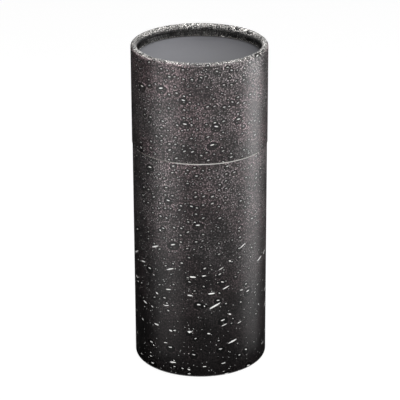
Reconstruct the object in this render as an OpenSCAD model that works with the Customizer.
// Round paper tube box with rolled rims, recessed ends and a pull-off lid on a neck.
// Millimetres, +Z up. The origin is on the ground, at the middle of the foot.

/* [Tube] */
// Outside diameter, over the lid
tube_d = 130; // [90:1:180]
// Height from the foot to the rim of the closed lid
total_h = 320; // [220:5:420]
// Height of the lid, from the seam to its rim
lid_h = 98; // [75:1:140]

/* [Board and papers] */
// Thickness of the wound board of lid and body
board_t = 1.2; // [0.8:0.1:1.5]
// Thickness of the printed wrap
wrap_t = 0.25; // [0.1:0.05:0.4]
// Thickness of the plain lining and cover papers
paper_t = 0.15; // [0.1:0.05:0.3]
// Thickness of the glue between two layers
glue_t = 0.1; // [0.05:0.01:0.15]
// Bevel on the cut edges where lid and body meet
cut_bevel = 0.5; // [0.1:0.1:0.8]
// Gap that stays open between the cut edges of the closed tube
seam_gap = 0.2; // [0.1:0.05:0.5]

/* [Rolled rims] */
// Width of the roll, seen from above
roll_w = 6; // [5.6:0.2:8]
// Depth of the crimp under the roll, below the crown
crimp_depth = 8.3; // [7.5:0.1:12]
// Inside radius of the crimp
crimp_r = 0.4; // [0.2:0.1:0.8]
// Width of the flat that pressing leaves on the crown
crown_flat_w = 1.6; // [0.4:0.2:2.4]
// How far the lip runs in from the crimp
lip_run = 2.75; // [1.5:0.25:5]
// How far the lip drops from the crimp to its cut edge
lip_drop = 4; // [2.5:0.1:8]

/* [Fringe] */
// Notches that the pleats leave in the lip of the wrap
notches = 144; // [60:6:180]
// Depth of a notch, towards the wall
notch_depth = 1.1; // [0.3:0.1:1.4]
// How far the star's points stop short of the lip's edge, which blunts the tongues
tongue_blunt = 0.15; // [0.05:0.05:0.3]

/* [Ends] */
// Thickness of the board disc that closes an end
disc_t = 2; // [1:0.25:4]

/* [Neck] */
// Thickness of the neck tube's board
neck_t = 1.2; // [0.8:0.1:2]
// Height of the neck above the seam
neck_h = 40; // [15:1:55]
// How far the neck's cover paper reaches down below the seam
cover_tuck = 15; // [5:1:40]
// How far the cover paper is turned in over the neck's edge
turn_in = 12; // [4:1:14]
// Radial play between the neck and the lid's lining
fit_gap = 0.3; // [0.2:0.05:0.6]

/* [Hidden] */
$fn = 180;

printed = "#3a3839";
board = "#b9ae9c";
white_paper = "#e9e7e2";
grey_paper = "#7f8084";

tube_r = tube_d / 2;
body_r = tube_r - fit_gap - paper_t;
seam_z = total_h - lid_h;
lid_length = lid_h - seam_gap;

// Every section is drawn from a tube's outside corner at its rolled end: x runs inwards from the
// outer face, and y runs along the tube, away from the crown of the roll.
board_x = wrap_t + glue_t;
bore_x = board_x + board_t;
lining_x = bore_x + glue_t;

roll_r = roll_w / 2;
crown = [roll_r, sqrt(pow(roll_r, 2) - pow(crown_flat_w / 2, 2))];
// The roll closes until its tail lies against the wall, where the crimp pinches it
crimp = [2 * bore_x + glue_t, crimp_depth];
to_crimp = crimp - crown;
tail_lean = atan2(to_crimp[1], to_crimp[0]) - acos(roll_r / norm(to_crimp));
lip_lean = atan2(lip_run, lip_drop);
lip_edge = crimp + [lip_run, lip_drop];
crown_steps = 16;
crimp_steps = 6;

// The board's edge stays behind the wrap's, so that both touch the facing on the disc
board_setback = (bore_x - wrap_t) * tan(lip_lean);
facing_y = lip_edge[1] + wrap_t * sin(lip_lean);
disc_y = facing_y + paper_t + glue_t;
inner_paper_y = disc_y + disc_t + glue_t;
inside_y = inner_paper_y + paper_t;

neck_x = lining_x + paper_t + glue_t;
neck_lining_x = neck_x + neck_t + glue_t;
turn_in_x = neck_lining_x + paper_t + glue_t;
neck_top_y = seam_z + neck_h;
neck_board_top_y = neck_top_y - paper_t - glue_t;

function reversed(points) = [for (i = [len(points) - 1 : -1 : 0]) points[i]];

function arc(centre, radius, from, to, steps) =
    [for (i = [0 : steps])
        let (angle = from + (to - from) * i / steps)
        centre + radius * [cos(angle), sin(angle)]];

// The direction that points out of the rolled face where the sheet leans by an angle
function face_normal(lean) = [cos(lean), -sin(lean)];

function crimp_centre() =
    crimp + crimp_r * (face_normal(-tail_lean) + face_normal(lip_lean)) / (1 + cos(tail_lean + lip_lean));

// The rolled face, drawn in by an inset: along the wall, over the crown, down the tail, round the
// crimp and out to the lip's edge, which a setback shortens
function rolled_face(inset, length, setback) =
    let (
        radius = roll_r - inset,
        flat = acos((crown[1] - inset) / radius),
        edge = lip_edge - inset * face_normal(lip_lean) - setback * [sin(lip_lean), cos(lip_lean)]
    )
    concat(
        [[inset, length]],
        arc(crown, radius, 180, 270 - flat, crown_steps),
        arc(crown, radius, 270 + flat, 360 + tail_lean, crown_steps),
        arc(crimp_centre(), crimp_r + inset, 180 + tail_lean, 180 - lip_lean, crimp_steps),
        [edge]
    );

// One layer of a rolled tube
module rolled_layer(layer_x, layer_t, length, setback) {
    difference() {
        polygon(concat(
            rolled_face(layer_x, length, setback),
            reversed(rolled_face(layer_x + layer_t, length, setback))
        ));
        translate([0, length - cut_bevel]) rotate(45) square(4 * cut_bevel);
    }
}

// The notches between the pleats: a star that cuts the lip's edge into tongues
module fringe_cut(lip_r) {
    step = 360 / notches;
    root_r = lip_r + notch_depth;
    point_r = lip_r - tongue_blunt;
    linear_extrude(height = facing_y - crimp_depth)
        polygon([for (i = [0 : notches - 1])
            each [root_r * [cos(i * step), sin(i * step)],
                  point_r * [cos((i + 0.5) * step), sin((i + 0.5) * step)]]]);
}

// A disc that fills the bore of a tube, from one depth below the crown to a greater one
module lid_disc(y, thickness) {
    translate([0, 0, total_h - y - thickness]) cylinder(r = tube_r - lining_x, h = thickness);
}

module base_disc(y, thickness) {
    translate([0, 0, y]) cylinder(r = body_r - lining_x, h = thickness);
}

// Paper turned over the neck's edge: an outer sheet, the edge and an inner sheet
module cover_section() {
    cover_y = seam_z - cover_tuck;
    translate([lining_x, cover_y]) square([paper_t, neck_top_y - cover_y]);
    translate([lining_x, neck_top_y - paper_t]) square([turn_in_x + paper_t - lining_x, paper_t]);
    translate([turn_in_x, neck_top_y - turn_in]) square([paper_t, turn_in]);
}

// Turn a section into a ring of the lid, with its crown on top
module turned_lid() {
    rotate_extrude() translate([tube_r, total_h]) rotate(180) children();
}

// Turn a section into a ring of the body, with its crown on the ground
module turned_body() {
    rotate_extrude() translate([body_r, 0]) mirror([1, 0]) children();
}

module lid_board_tube() {
    color(board) turned_lid() rolled_layer(board_x, board_t, lid_length, board_setback);
}

module lid_printed_wrap() {
    color(printed) difference() {
        turned_lid() rolled_layer(0, wrap_t, lid_length, 0);
        translate([0, 0, total_h - facing_y]) fringe_cut(tube_r - lip_edge[0]);
    }
}

module lid_lining() {
    color(white_paper) turned_lid()
        translate([lining_x, inside_y]) square([paper_t, lid_length - inside_y]);
}

module lid_end_disc() {
    color(board) lid_disc(disc_y, disc_t);
}

module lid_end_facing() {
    color(grey_paper) lid_disc(facing_y, paper_t);
}

module lid_ceiling_paper() {
    color(white_paper) lid_disc(inner_paper_y, paper_t);
}

module body_board_tube() {
    color(board) turned_body() rolled_layer(board_x, board_t, seam_z, board_setback);
}

module body_printed_wrap() {
    color(printed) difference() {
        turned_body() rolled_layer(0, wrap_t, seam_z, 0);
        translate([0, 0, crimp_depth]) fringe_cut(body_r - lip_edge[0]);
    }
}

module base_end_disc() {
    color(board) base_disc(disc_y, disc_t);
}

module base_end_facing() {
    color(grey_paper) base_disc(facing_y, paper_t);
}

module base_floor_paper() {
    color(white_paper) base_disc(inner_paper_y, paper_t);
}

module neck_tube() {
    color(board) turned_body()
        translate([neck_x, inside_y]) square([neck_t, neck_board_top_y - inside_y]);
}

module neck_cover_paper() {
    color(white_paper) turned_body() cover_section();
}

module neck_lining() {
    color(white_paper) turned_body()
        translate([neck_lining_x, inside_y]) square([paper_t, neck_board_top_y - inside_y]);
}

lid_board_tube();
lid_printed_wrap();
lid_lining();
lid_end_disc();
lid_end_facing();
lid_ceiling_paper();
body_board_tube();
body_printed_wrap();
base_end_disc();
base_end_facing();
base_floor_paper();
neck_tube();
neck_cover_paper();
neck_lining();
